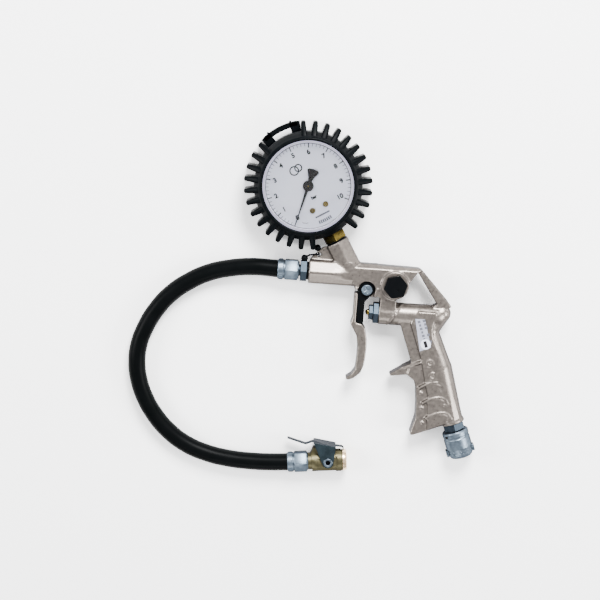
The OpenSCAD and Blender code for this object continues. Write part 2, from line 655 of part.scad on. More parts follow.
// ---- hose ----
module on_barrel() gun() translate([0, barrel_y, 0]) children();
module hose_nipple() color("#7f8ea6") on_barrel() difference() {
    union() {
        six(nipple_flats, nipple_x - nipple_t, nipple_x);
        rod(nipple_thread_r, nipple_x - bite, -barrel_front + 12);
        rod(hose_spigot_r, hose_exit_x + 1, nipple_x);
    }
    rod(2.6, -120, 0);
}
module nipple_seal() color("#1a1b1e") on_barrel()
    pipe(nipple_thread_r + 1.3, nipple_thread_r, nipple_x, -barrel_front);
module ferrule(x0) difference() {
    union() {
        rod(ferrule_r, x0, x0 + 4.5);
        rod(ferrule_r - 0.8, x0 + 4.5, x0 + ferrule_len);
        six(2 * ferrule_r - 0.6, x0 + 6, x0 + ferrule_len - 2);
    }
    rod(hose_spigot_r + 0.05, x0 - cut, x0 + ferrule_len + cut);
}
module ferrule_gun() color("#c4ccd4") on_barrel() ferrule(hose_exit_x);
function unit(v) = v / norm(v);
function path_tangent(p, i) = unit(p[min(i + 1, len(p) - 1)] - p[max(i - 1, 0)]);
function ring_points(at, t, r, sides) = let (side = unit(cross(t, [0, 0, 1])), up = cross(side, t))
    [for (k = [0 : sides - 1]) at + r * (cos(360 * k / sides) * side + sin(360 * k / sides) * up)];
// A closed tube along a list of points; the two end directions are given so its end faces sit square.
module swept_tube(p, r, sides, first, last) {
    n = len(p);
    points = [for (i = [0 : n - 1])
        each ring_points(p[i], i == 0 ? first : i == n - 1 ? last : path_tangent(p, i), r, sides)];
    walls = [for (i = [0 : n - 2]) for (k = [0 : sides - 1]) let (m = (k + 1) % sides)
        [i * sides + k, (i + 1) * sides + k, (i + 1) * sides + m, i * sides + m]];
    start = [for (k = [0 : sides - 1]) k];
    finish = [for (k = [sides - 1 : -1 : 0]) (n - 1) * sides + k];
    polyhedron(points, concat([start, finish], walls));
}
module hose() color("#16181b") gun()
    swept_tube(hose_points, hose_d / 2, 12, [-1, 0, 0], [cos(chuck_tilt), sin(chuck_tilt), 0]);

// ---- chuck ----
module in_chuck() gun() chuck_frame() children();
module ferrule_chuck() color("#b9bfca") in_chuck() ferrule(-chuck_len - ferrule_len);
module chuck_solids() {
    rod(hose_spigot_r, -chuck_len - ferrule_len + 1, -chuck_len + 1);
    rod(chuck_neck_r, -chuck_len, -30);
    rod(chuck_r - 0.7, -30.2, -4);
    rod(chuck_r, -9.5, -4.8);
    translate([-4.3, 0, 0]) rotate([0, 90, 0]) cylinder(r1 = chuck_r - 0.4, r2 = chuck_r - 1.6, h = 4.3);
    slab(-5, 5) polygon([
        [rivet_s - 15.9, 5.4], [rivet_s - 12.2, 12.7], [rivet_s - 8.5, 12.7], [rivet_s - 1, 8], [rivet_s, 0],
        [rivet_s - 14, 0]]);
}
module chuck_body() color("#8f8657") in_chuck() difference() {
    chuck_solids();
    for (side = [-1, 1]) translate([rivet_s - 0.5, 4.5, side * (clip_in - 0.1 + 5)])
        cube([18, 20, 10], center = true);
    translate([-6.4, 0, -2.6]) cube([5.5, 14, 5.2]);
    rod(socket_r, -12, 1);
    rod(6, -socket_depth - seal_t, -socket_depth);
    rod(5, -22, -socket_depth - seal_t + bite);
    rod(2.5, -80, -21);
    translate([rivet_s, 0, -20]) cylinder(r = rivet_r, h = 40);
    translate([rivet_s, 0, clip_in - 1.3]) cylinder(r = 4.3, h = 4);
}
module chuck_seal() color("#1b1b1d") in_chuck()
    pipe(5.95, 2.6, -socket_depth - seal_t + 0.05, -socket_depth - 0.2);
module chuck_pin() color("#b69a4c") in_chuck() rod(1.2, rivet_s + rivet_r + 0.05, -socket_depth - 0.6);
module chuck_rivet() color("#c3bdb6") in_chuck() translate([rivet_s, 0, 0]) difference() {
    union() {
        translate([0, 0, -clip_out - 0.05]) cylinder(r = rivet_r, h = 2 * clip_out + 0.1);
        for (side = [-1, 1]) translate([0, 0, side * (clip_out + 0.45)])
            cylinder(r = 3.8, h = 0.8, center = true);
    }
    cylinder(r = rivet_hole_r, h = 40, center = true);
}
module clip_spring() color("#c8ccd0") in_chuck() translate([rivet_s, 0, clip_in - 1.2]) difference() {
    cylinder(r = 4.1, h = 1.05);
    translate([0, 0, -cut]) cylinder(r = rivet_r + 0.1, h = 4);
}
module clip_side(low, high) slab(low, high) difference() {
    union() {
        circle(4.8);
        polygon([[-11.55, 18.1], [7.35, 13.5], [5, 1], [0, 0], [-5.2, 0]]);
    }
    circle(rivet_r + shaft_gap);
}
module chuck_clip() color("#5d6b73") in_chuck() translate([rivet_s, 0, 0]) {
    clip_side(clip_in, clip_out);
    clip_side(-clip_out, -clip_in);
    slab(-clip_out, clip_out) polygon([[-11.55, 18.1], [7.35, 13.5], [7.35, 12.6], [-11.55, 17.2]]);
    slab(-2.3, 2.3) polygon([
        [7.3, 13.5], [12.8, 12.6], [14.2, 11.2], [14.2, 6],
        [13.3, 6], [13.3, 10.9], [12.4, 11.7], [7.3, 12.6]]);
    slab(-2.6, 2.6) polygon([
        [-11.5, 18.1], [-13.2, 18], [-18.2, 16.4], [-19.8, 16.8], [-33.9, 22.3], [-34.2, 21.5], [-20, 15.9],
        [-18.3, 15.4], [-13.4, 17], [-11.5, 17.2]]);
}

// ---- labels and tie ----
module label_plate() color("#c9cbd6") gun() slab(panel_half, panel_half + 0.25) polygon([
    [42.6, -20], [50.9, -19.8], [57.8, -43.5], [48.7, -47.5]]);
module round_sticker() color("#dfe2ea") gun()
    translate([53.1, -41.2, panel_half + 0.25]) cylinder(r = 4.4, h = 0.2);
tie_points = [[-barrel_front - 4.6, 24.6, 2], [-barrel_front, 27.5, 5], [-45, 28.6, 5.2],
    [-42.3, 28, 4], [-42.3, 28, -4], [-42.8, 31, -4.5], [-43.6, 33, 0]];
module link_round(p, q, r) {
    run = q - p;
    translate(q) sphere(r);
    translate(p) rotate([0, acos(run.z / norm(run)), atan2(run.y, run.x)])
        cylinder(r = 0.75 * r, h = norm(run));
}
module retaining_tie() color("#121316") gun() {
    for (i = [1 : len(tie_points) - 1]) link_round(tie_points[i - 1], tie_points[i], 1);
    translate(tie_points[0]) sphere(2.5);
    translate(tie_points[len(tie_points) - 1]) sphere(2);
}

gun_body();
trigger_lever();
trigger_insert();
pivot_screw();
pivot_nut();
valve_gland_nut();
valve_stem();
valve_seal();
valve_seat();
valve_spring();
bleed_button();
bleed_pin();
bleed_spring();
bleed_gland();
inlet_adapter();
coupler_sleeve();
coupler_seal();
gauge_case();
gauge_bezel();
gauge_lens();
spacer_ring();
gauge_dial();
dial_screw_1();
dial_screw_2();
pointer();
pointer_arbor();
gauge_socket();
socket_washer();
bourdon_tube();
tube_tip();
link_bar();
sector_gear();
movement_front_plate();
movement_back_plate();
movement_pillar_1();
movement_pillar_2();
hairspring();
gauge_boot();
hose_nipple();
nipple_seal();
ferrule_gun();
hose();
ferrule_chuck();
chuck_body();
chuck_seal();
chuck_pin();
chuck_clip();
chuck_rivet();
clip_spring();
label_plate();
round_sticker();
retaining_tie();
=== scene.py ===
"""Pistol-grip tyre inflator: dial gauge in a finned rubber boot, cast body, short hose and clip-on chuck."""

import json
import math

import bmesh
import bpy
from mathutils import Matrix, Vector


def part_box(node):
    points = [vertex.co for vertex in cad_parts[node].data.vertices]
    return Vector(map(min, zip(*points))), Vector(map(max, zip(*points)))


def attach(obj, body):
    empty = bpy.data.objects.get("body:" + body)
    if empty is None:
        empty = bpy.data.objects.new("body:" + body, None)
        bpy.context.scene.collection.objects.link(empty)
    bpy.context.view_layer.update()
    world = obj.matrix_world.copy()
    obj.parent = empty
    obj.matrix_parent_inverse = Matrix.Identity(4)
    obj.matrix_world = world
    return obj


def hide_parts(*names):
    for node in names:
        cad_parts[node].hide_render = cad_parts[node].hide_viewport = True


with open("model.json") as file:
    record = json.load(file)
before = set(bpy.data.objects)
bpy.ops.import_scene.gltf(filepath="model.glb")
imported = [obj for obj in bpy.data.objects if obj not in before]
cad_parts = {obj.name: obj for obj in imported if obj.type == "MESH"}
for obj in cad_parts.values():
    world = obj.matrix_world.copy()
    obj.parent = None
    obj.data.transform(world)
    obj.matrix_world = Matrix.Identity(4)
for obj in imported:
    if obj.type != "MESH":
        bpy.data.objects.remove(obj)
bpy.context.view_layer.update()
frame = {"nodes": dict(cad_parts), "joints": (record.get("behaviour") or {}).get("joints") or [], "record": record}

bl_info = {
    "name": "Tyre inflator",
    "version": (1, 0, 0),
    "blender": (4, 5, 0),
    "location": "3D View > Sidebar > Inflator",
    "description": "Builds a pistol-grip tyre inflator over its packed frame",
    "category": "Object",
}

MM = 0.001
EDGE_TINT = (0.35, 0.35, 0.36, 1)      # specular tint of a metal seen edge on
PAINTED_RIM_SHADE = (0.01, 0.01, 0.012, 1)     # colour of the painted shade that darkens a finish where it turns away from the camera
WELD = 0.00001                         # metres within which a drawn piece's vertices are merged
CAD_WELD = 0.000002                    # the same for a copied CAD mesh
PIVOT_RISE = 1.6                       # trigger pivot above the gun's datum, in millimetres
JOINTS = {joint["name"]: joint for joint in frame["joints"]}
MOUNTS = {mount["name"]: mount for mount in frame["record"]["mounts"]}
BODY_OF = {node: body for body, nodes in frame["record"]["behaviour"]["bodies"].items() for node in nodes}
SLOT_OF = {part["node"]: part["material_slot"] for part in frame["record"]["subparts"]}
PIVOT = Vector(JOINTS["trigger_pivot"]["pos_m"])
DATUM = PIVOT - Vector((0, PIVOT_RISE * MM, 0))
GAUGE = Vector(JOINTS["pointer_turn"]["pos_m"])
RIVET = Vector(JOINTS["clip_pivot"]["pos_m"])
STEM_ANGLE = math.radians(-59)
LOOP_ANGLE = STEM_ANGLE + math.pi
DIAL_ZERO = math.radians(255.6)
DIAL_SWEEP = math.radians(270)
DIAL_STEPS = 10
VIEW_CENTRE = (-55.55, -12.24)         # gun point in the middle of the camera's view
INK_LIFT = 0.03 * MM                   # height of printed bars over the face they lie on
TEXT_LIFT = 0.05 * MM                  # height of the dial's numbers over its face


# ---- places and small makers ----
def at(x, y, z=0.0):
    """A point in metres, from millimetres along and across the gun and above its middle plane."""
    return DATUM + Vector((x, y, z)) * MM


def middle(node):
    """The middle of a CAD node's box."""
    low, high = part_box(node)
    return (Vector(low) + Vector(high)) / 2


def top_of(node):
    """The height of the top of a CAD node's box."""
    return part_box(node)[1][2]


def polar(radius, angle, z):
    """A point round the gauge's axis; radius in millimetres, z in metres in the row frame."""
    return Vector((GAUGE.x + radius * MM * math.cos(angle), GAUGE.y + radius * MM * math.sin(angle), z))


def frame_along(origin, axis, up=(0, 0, 1)):
    """A matrix whose Z runs along axis, with its Y as near to up as it can be."""
    z = Vector(axis).normalized()
    x = Vector(up).cross(z).normalized()
    return Matrix.Translation(origin) @ Matrix((x, z.cross(x), z)).transposed().to_4x4()


def piece(name, bm, body, material, nodes=(), smooth=None):
    """Turns a bmesh into a finished piece of the inflator."""
    mesh = bpy.data.meshes.new(name)
    bm.to_mesh(mesh)
    bm.free()
    obj = bpy.data.objects.new(name, mesh)
    bpy.context.scene.collection.objects.link(obj)
    mesh.materials.append(material)
    if smooth is not None:
        mesh.shade_smooth()
        mesh.set_sharp_from_angle(angle=math.radians(smooth))
    if nodes:
        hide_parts(*nodes)
    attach(obj, body)
    return obj


def outward(bm):
    """Merges doubled vertices and turns every face outward."""
    bmesh.ops.remove_doubles(bm, verts=bm.verts, dist=WELD)
    bmesh.ops.recalc_face_normals(bm, faces=bm.faces)


def copied(node):
    """A merged copy of a CAD node's mesh."""
    bm = bmesh.new()
    bm.from_mesh(frame["nodes"][node].data)
    bmesh.ops.remove_doubles(bm, verts=bm.verts, dist=CAD_WELD)
    return bm


def block(bm, size, matrix):
    """A box of that size in millimetres, set by matrix."""
    scale = Matrix.Diagonal((*(Vector(size) * MM), 1))
    return bmesh.ops.create_cube(bm, size=1, matrix=matrix @ scale)["verts"]


def ball(bm, radius, centre):
    """A ball of that radius in millimetres."""
    bmesh.ops.create_icosphere(bm, subdivisions=2, radius=radius * MM, matrix=Matrix.Translation(centre))


def bead(bm, start, end, r0, r1):
    """A round-ended rib between two points, as three solids that overlap."""
    ball(bm, r0, start)
    ball(bm, r1, end)
    run = end - start
    bmesh.ops.create_cone(
        bm, cap_ends=True, segments=16, radius1=r0 * MM, radius2=r1 * MM, depth=run.length,
        matrix=frame_along((start + end) / 2, run, (0.2, 0.3, 1)))


def only_edges(geom):
    """The edges in a list of mixed mesh elements."""
    return [g for g in geom if isinstance(g, bmesh.types.BMEdge)]


def rounded(bm, verts, offset, segments):
    """Rounds every edge of the solid made of verts; offset in millimetres."""
    bmesh.ops.bevel(
        bm, geom=list({e for v in verts for e in v.link_edges}), offset=offset * MM, segments=segments,
        profile=0.5, affect="EDGES", material=-1, clamp_overlap=True)


def turned(bm, profile, matrix, steps=96, angle=2 * math.pi):
    """Spins an outline of (radius, height) in millimetres round Z and sets it by matrix."""
    old = set(bm.verts)
    verts = [bm.verts.new((r * MM, 0, h * MM)) for r, h in profile]
    edges = [bm.edges.new(pair) for pair in zip(verts, verts[1:] + verts[:1])]
    full = abs(angle - 2 * math.pi) < 1e-6
    made = bmesh.ops.spin(
        bm, geom=verts + edges, cent=(0, 0, 0), axis=(0, 0, 1), angle=angle, steps=steps, use_merge=full)
    if not full:
        bmesh.ops.contextual_create(bm, geom=edges)
        bmesh.ops.contextual_create(bm, geom=only_edges(made["geom_last"]))
    new = [v for v in bm.verts if v not in old]
    bmesh.ops.transform(bm, matrix=matrix, verts=new)
    bmesh.ops.recalc_face_normals(bm, faces=list({f for v in new for f in v.link_faces}))


def bevelled(obj, width, segments=2, angle=35):
    """Adds a live bevel; width in millimetres, angle in degrees."""
    mod = obj.modifiers.new("edges", "BEVEL")
    mod.width = width * MM
    mod.segments = segments
    mod.limit_method = "ANGLE"
    mod.angle_limit = math.radians(angle)
    mod.use_clamp_overlap = True
    mod.harden_normals = False
    return obj


def settled(bm, voxel, passes, bevel=0.0):
    """Fuses overlapping solids into one skin with cast-like fillets, by voxels and smoothing."""
    mesh = bpy.data.meshes.new("raw")
    bm.to_mesh(mesh)
    bm.free()
    raw = bpy.data.objects.new("raw", mesh)
    bpy.context.scene.collection.objects.link(raw)
    if bevel:
        bevelled(raw, bevel, 3, 50)
    remesh = raw.modifiers.new("skin", "REMESH")
    remesh.mode = "VOXEL"
    remesh.voxel_size = voxel * MM
    bpy.context.view_layer.update()
    skin = raw.evaluated_get(bpy.context.evaluated_depsgraph_get()).to_mesh()
    out = bmesh.new()
    out.from_mesh(skin)
    bpy.data.objects.remove(raw)
    for _ in range(passes):
        bmesh.ops.smooth_vert(
            out, verts=out.verts, factor=0.5, use_axis_x=True, use_axis_y=True, use_axis_z=True)
    return out


def softened(node, material, width):
    """A CAD node's own shape with its edges broken by a small bevel."""
    bm = copied(node)
    bmesh.ops.dissolve_limit(bm, angle_limit=math.radians(1), verts=bm.verts, edges=bm.edges)
    obj = piece(node + "_finished", bm, BODY_OF[node], material, (node,), smooth=30)
    return bevelled(obj, width)


# ---- materials ----
def linear(hex_colour):
    """An sRGB hex colour as linear RGBA."""
    parts = [int(hex_colour[i:i + 2], 16) / 255 for i in (1, 3, 5)]
    return (*((c / 12.92 if c <= 0.04045 else ((c + 0.055) / 1.055) ** 2.4) for c in parts), 1.0)


def add(tree, kind, inputs=None, **settings):
    """Adds a node with its settings, values and links."""
    node = tree.nodes.new(kind)
    for key, value in settings.items():
        setattr(node, key, value)
    for key, value in (inputs or {}).items():
        if isinstance(value, bpy.types.NodeSocket):
            tree.links.new(value, node.inputs[key])
        else:
            node.inputs[key].default_value = value
    return node


def surface(name, light, dark, cloud_mm, grain_mm, depth_mm, rough, metallic=0.0, rim=0.0, **shader):
    """A finish whose colour drifts over cloud_mm, with grain of grain_mm by depth_mm.

    Its gloss drifts with the colour between the two rough values, and rim sets how far painted shade darkens it
    where it turns away from the camera.
    """
    old = bpy.data.materials.get(name)
    if old:
        return old
    mat = bpy.data.materials.new(name)
    mat.use_nodes = True
    tree = mat.node_tree
    tree.nodes.clear()
    place = add(tree, "ShaderNodeTexCoord").outputs["Object"]
    cloud = add(tree, "ShaderNodeTexNoise", {"Vector": place, "Scale": 1000 / cloud_mm, "Detail": 4.0})
    grain = add(tree, "ShaderNodeTexNoise", {"Vector": place, "Scale": 1000 / grain_mm, "Detail": 2.0})
    tint = add(tree, "ShaderNodeMix", {"Factor": cloud.outputs["Fac"]}, data_type="RGBA")
    tint.inputs[6].default_value = linear(dark)
    tint.inputs[7].default_value = linear(light)
    # painted shade: by rim, the colour is darkened towards near black where the surface turns away from the camera
    facing = add(tree, "ShaderNodeLayerWeight", {"Blend": 0.5}).outputs["Facing"]
    painted_rim_falloff = add(tree, "ShaderNodeMapRange", {
        "Value": facing, "From Min": 0.15, "From Max": 0.8, "To Max": rim})
    shaded = add(tree, "ShaderNodeMix", {"Factor": painted_rim_falloff.outputs["Result"]}, data_type="RGBA")
    shaded.inputs[7].default_value = PAINTED_RIM_SHADE
    tree.links.new(tint.outputs[2], shaded.inputs[6])
    gloss = add(tree, "ShaderNodeMapRange", {
        "Value": cloud.outputs["Fac"], "From Min": 0.3, "From Max": 0.7,
        "To Min": rough[0], "To Max": rough[1]})
    bump = add(tree, "ShaderNodeBump", {
        "Height": grain.outputs["Fac"], "Strength": 0.6, "Distance": depth_mm * MM})
    bsdf = add(tree, "ShaderNodeBsdfPrincipled", {
        "Base Color": shaded.outputs[2], "Roughness": gloss.outputs["Result"], "Metallic": metallic,
        "Normal": bump.outputs["Normal"]})
    for key, value in shader.items():
        bsdf.inputs[key.replace("_", " ")].default_value = value
    add(tree, "ShaderNodeOutputMaterial", {"Surface": bsdf.outputs["BSDF"]})
    return mat


def cast_aluminium():
    """Die-cast aluminium, tumbled and lacquered: a warm satin with a fine grain that softens highlights."""
    finish = bpy.context.scene.inflator_finish
    return surface("cast_aluminium", finish.casting, "#5a544f", 2.5, 1.2, 0.10, (0.27, 0.38), 0.85, 0.8,
                   Specular_Tint=EDGE_TINT)


def moulded_rubber():
    """Moulded rubber: near black with a cool bloom, dull but for a soft sheen on its edges."""
    return surface("moulded_rubber", "#06080a", "#030405", 6, 0.7, 0.05, (0.30, 0.42),
                   Specular_IOR_Level=0.02)


def hose_rubber():
    """Extruded rubber hose: a smoother black that takes a long soft highlight."""
    return surface("hose_rubber", "#060708", "#030404", 14, 0.9, 0.03, (0.30, 0.40), Specular_IOR_Level=0.02)


def black_nylon():
    """Glass-filled nylon: matt black with a fine moulded grain."""
    return surface("black_nylon", "#070809", "#040506", 5, 0.6, 0.05, (0.32, 0.45), Specular_IOR_Level=0.02)


def turned_brass():
    """Turned brass: yellow metal that has dulled a little between its tool marks."""
    return surface("turned_brass", "#857238", "#4d431f", 3, 0.4, 0.015, (0.22, 0.34), 1.0, 0.6,
                   Specular_Tint=EDGE_TINT)


def bright_brass():
    """Pale pinkish-gold brass, for the ring at the chuck's mouth."""
    return surface("bright_brass", "#ead2b4", "#c9ab80", 3, 0.4, 0.01, (0.2, 0.3), 0.9)


def nickel_brass():
    """Brass under worn nickel: an olive-grey metal."""
    return surface("nickel_brass", "#5f5a44", "#3d3926", 4, 1.2, 0.05, (0.34, 0.46), 0.9, 0.7,
                   Specular_Tint=EDGE_TINT)


def zinc_plate():
    """Blue zinc plate on steel: cool grey with brighter and darker patches."""
    return surface("zinc_plate", "#353e47", "#1e252b", 4, 0.5, 0.015, (0.38, 0.5), 0.95, 0.7,
                   Specular_Tint=EDGE_TINT)


def satin_zinc():
    """Satin zinc on the coupler and ferrules: a light cool metal."""
    return surface("satin_zinc", "#6f7b87", "#46515b", 3, 1.0, 0.04, (0.32, 0.46), 0.9, 0.75,
                   Specular_Tint=EDGE_TINT)


def spring_steel():
    """Blued spring steel, for the clip."""
    return surface("spring_steel", "#3d4b52", "#262f33", 6, 0.5, 0.015, (0.24, 0.34), 0.9, 0.6,
                   Specular_Tint=EDGE_TINT)


def black_paint():
    """Black stoving paint on the gauge's steel case."""
    return surface("black_paint", "#0c0d0f", "#08090b", 8, 0.5, 0.01, (0.3, 0.4), Specular_IOR_Level=0.03)


def dial_enamel():
    """White enamel on the dial: cool and even."""
    return surface("dial_enamel", "#c9cbd6", "#c2c4d0", 20, 0.4, 0.004, (0.45, 0.55))


def lilac_acetal():
    """The pale translucent ring that holds the lens off the dial, with a painted glow: a little emission makes it
    brighter.
    """
    return surface("lilac_acetal", "#fbfbff", "#f4f3ff", 10, 0.5, 0.01, (0.3, 0.4),
                   Emission_Color=(0.9, 0.88, 1.0, 1), Emission_Strength=0.3)


def printing_ink():
    """Black ink, printed on the dial and labels."""
    return surface("printing_ink", "#0b0b0c", "#08080a", 3, 0.3, 0.003, (0.5, 0.6), Specular_IOR_Level=0.2)


def grey_ink():
    """Thin grey ink, for the finer marks."""
    return surface("grey_ink", "#55565e", "#474850", 3, 0.3, 0.003, (0.5, 0.6), Specular_IOR_Level=0.2)


def needle_lacquer():
    """Black lacquer on the pointer."""
    return surface("needle_lacquer", "#100c0c", "#0a0808", 4, 0.4, 0.004, (0.3, 0.4), Specular_IOR_Level=0.03)


def silver_foil():
    """Printed silver foil: pale, cool and a little creased."""
    return surface("silver_foil", "#a9abb9", "#9496a5", 4, 2.0, 0.03, (0.28, 0.42), 0.4)


def white_vinyl():
    """White vinyl sticker."""
    return surface("white_vinyl", "#c9ccd8", "#bcc0cc", 4, 1.5, 0.01, (0.3, 0.4))


def clear_glass():
    """Flat window glass over the dial."""
    mat = surface("clear_glass", "#ffffff", "#fbfcff", 20, 5, 0.001, (0.02, 0.04))
    shader = next(n for n in mat.node_tree.nodes if n.type == "BSDF_PRINCIPLED")
    shader.inputs["Transmission Weight"].default_value = 1.0
    shader.inputs["IOR"].default_value = 1.45
    return mat


NODE_FINISH = {
    "casting": cast_aluminium, "rubber": moulded_rubber, "black_plastic": black_nylon, "brass": turned_brass,
    "chuck_brass": nickel_brass, "zinc": zinc_plate, "coupler_zinc": satin_zinc, "clip_steel": spring_steel,
    "black_case": black_paint, "dial": dial_enamel, "lilac_ring": lilac_acetal,
    "needle_black": needle_lacquer, "lens": clear_glass, "label": silver_foil,
}


# ---- settings ----
class InflatorFinish(bpy.types.PropertyGroup):
    """Colours that a user would change."""

    casting: bpy.props.StringProperty(
        name="Casting", description="sRGB hex colour of the cast body", default="#857d76")
    floor: bpy.props.StringProperty(
        name="Floor", description="sRGB hex colour of the floor", default="#ffffff")


class InflatorSizes(bpy.types.PropertyGroup):
    """Sizes that a user would change."""

    skin: bpy.props.FloatProperty(
        name="Casting skin", description="Width of the cells that round the casting, in millimetres",
        default=0.7, min=0.6, max=1.5)
    camera_distance: bpy.props.FloatProperty(
        name="Camera distance", description="From the camera to the middle of the view",
        default=1.2, min=0.6, max=3, unit="LENGTH")
    view_width: bpy.props.FloatProperty(
        name="View width", description="Width that the camera sees at the gun's middle plane",
        default=0.51, min=0.2, max=1, unit="LENGTH")
    camera_roll: bpy.props.FloatProperty(
        name="Camera roll", description="Turn of the view round its own axis",
        default=math.radians(4), subtype="ANGLE")
    camera_tilt: bpy.props.FloatProperty(
        name="Camera tilt", description="Lean of the view towards the gauge",
        default=math.radians(9), subtype="ANGLE")


# ---- stage ----
class INFLATOR_OT_stage(bpy.types.Operator):
    """Make the floor, the lights and the camera"""

    bl_idname = "inflator.stage"
    bl_label = "Stage"

    def execute(self, context):
        sizes = context.scene.inflator_sizes
        self.floor(context)
        self.camera(context, sizes)
        self.lights(context)
        return {"FINISHED"}

    def floor(self, context):
        bm = bmesh.new()
        bmesh.ops.create_grid(bm, x_segments=8, y_segments=8, size=4)
        mesh = bpy.data.meshes.new("floor")
        bm.to_mesh(mesh)
        bm.free()
        floor = bpy.data.objects.new("floor", mesh)
        context.scene.collection.objects.link(floor)
        colour = context.scene.inflator_finish.floor
        mesh.materials.append(surface("studio_paper", colour, colour, 60, 3, 0.01, (0.8, 0.9),
                                      Emission_Color=linear(colour), Emission_Strength=0.3))

    def camera(self, context, sizes):
        roll, tilt = sizes.camera_roll, sizes.camera_tilt
        right = Vector((math.cos(roll), math.sin(roll), 0))
        level = Vector((-math.sin(roll), math.cos(roll), 0))
        up = level * math.cos(tilt) - Vector((0, 0, math.sin(tilt)))
        back = right.cross(up)
        target = at(*VIEW_CENTRE)
        data = bpy.data.cameras.new("camera")
        data.sensor_width = 36
        data.lens = 36 * sizes.camera_distance / sizes.view_width
        camera = bpy.data.objects.new("camera", data)
        camera.matrix_world = (
            Matrix.Translation(target + back * sizes.camera_distance)
            @ Matrix((right, up, back)).transposed().to_4x4())
        context.scene.collection.objects.link(camera)
        context.scene.camera = camera

    def lights(self, context):
        world = bpy.data.worlds.new("studio")
        world.use_nodes = True
        world.node_tree.nodes["Background"].inputs["Color"].default_value = (0.95, 0.97, 1.0, 1)
        world.node_tree.nodes["Background"].inputs["Strength"].default_value = 0.75
        context.scene.world = world
        soft_boxes = {
            "key": ((0.15, 0.95, 1.0), 0.55, 78), "right": ((1.15, -0.1, 0.75), 0.6, 30),
            "left": ((-1.2, 0.1, 0.8), 0.6, 30), "low": ((-0.1, -1.2, 0.8), 0.6, 9),
        }
        for name, (place, size, power) in soft_boxes.items():
            data = bpy.data.lights.new(name, "AREA")
            data.size = size
            data.energy = power
            light = bpy.data.objects.new(name, data)
            away = Vector(place)
            light.matrix_world = frame_along(away, away, (0.01, 0.02, 1))
            context.scene.collection.objects.link(light)


# ---- hose ----
HOSE_POINTS = [
    (-76.2, 13.4, 0), (-98, 13.4, -1.5), (-119, 10, -4), (-135, 5, -5.2), (-150, -3, -6), (-165, -14.5, -6),
    (-177, -29, -6), (-186, -46, -6), (-191, -62.5, -6), (-191.6, -78, -6), (-189.3, -91.5, -6),
    (-183.6, -106.5, -6), (-174.3, -121.5, -6), (-162, -134.8, -6), (-146.5, -145.6, -6),
    (-128, -152.6, -5.6), (-107, -156.2, -4.8), (-87.5, -157, -4.1), (-71, -156.5, -3.6),
    (-56.48, -155.32, -3.3),
]


class INFLATOR_OT_hose(bpy.types.Operator):
    """Lay the rubber hose between its two ferrules"""

    bl_idname = "inflator.hose"
    bl_label = "Hose"

    def execute(self, context):
        curve = bpy.data.curves.new("hose_tube", "CURVE")
        curve.dimensions = "3D"
        curve.bevel_depth = 7.5 * MM
        curve.bevel_resolution = 10
        curve.resolution_u = 10
        curve.use_fill_caps = True
        spline = curve.splines.new("BEZIER")
        spline.bezier_points.add(len(HOSE_POINTS) - 1)
        for knot, point in zip(spline.bezier_points, HOSE_POINTS):
            knot.co = at(*point)
            knot.handle_left_type = knot.handle_right_type = "AUTO"
        hose = bpy.data.objects.new("hose_tube", curve)
        context.scene.collection.objects.link(hose)
        curve.materials.append(hose_rubber())
        bpy.context.view_layer.update()
        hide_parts("hose")
        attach(hose, "gun")
        return {"FINISHED"}

    def length(self, spline):
        knots = spline.bezier_points
        total = 0.0
        for a, b in zip(knots[:-1], knots[1:]):
            steps = [
                a.co * (1 - t) ** 3 + a.handle_right * 3 * t * (1 - t) ** 2
                + b.handle_left * 3 * t * t * (1 - t) + b.co * t ** 3
                for t in (i / 12 for i in range(13))]
            total += sum((q - p).length for p, q in zip(steps[:-1], steps[1:]))
        return total


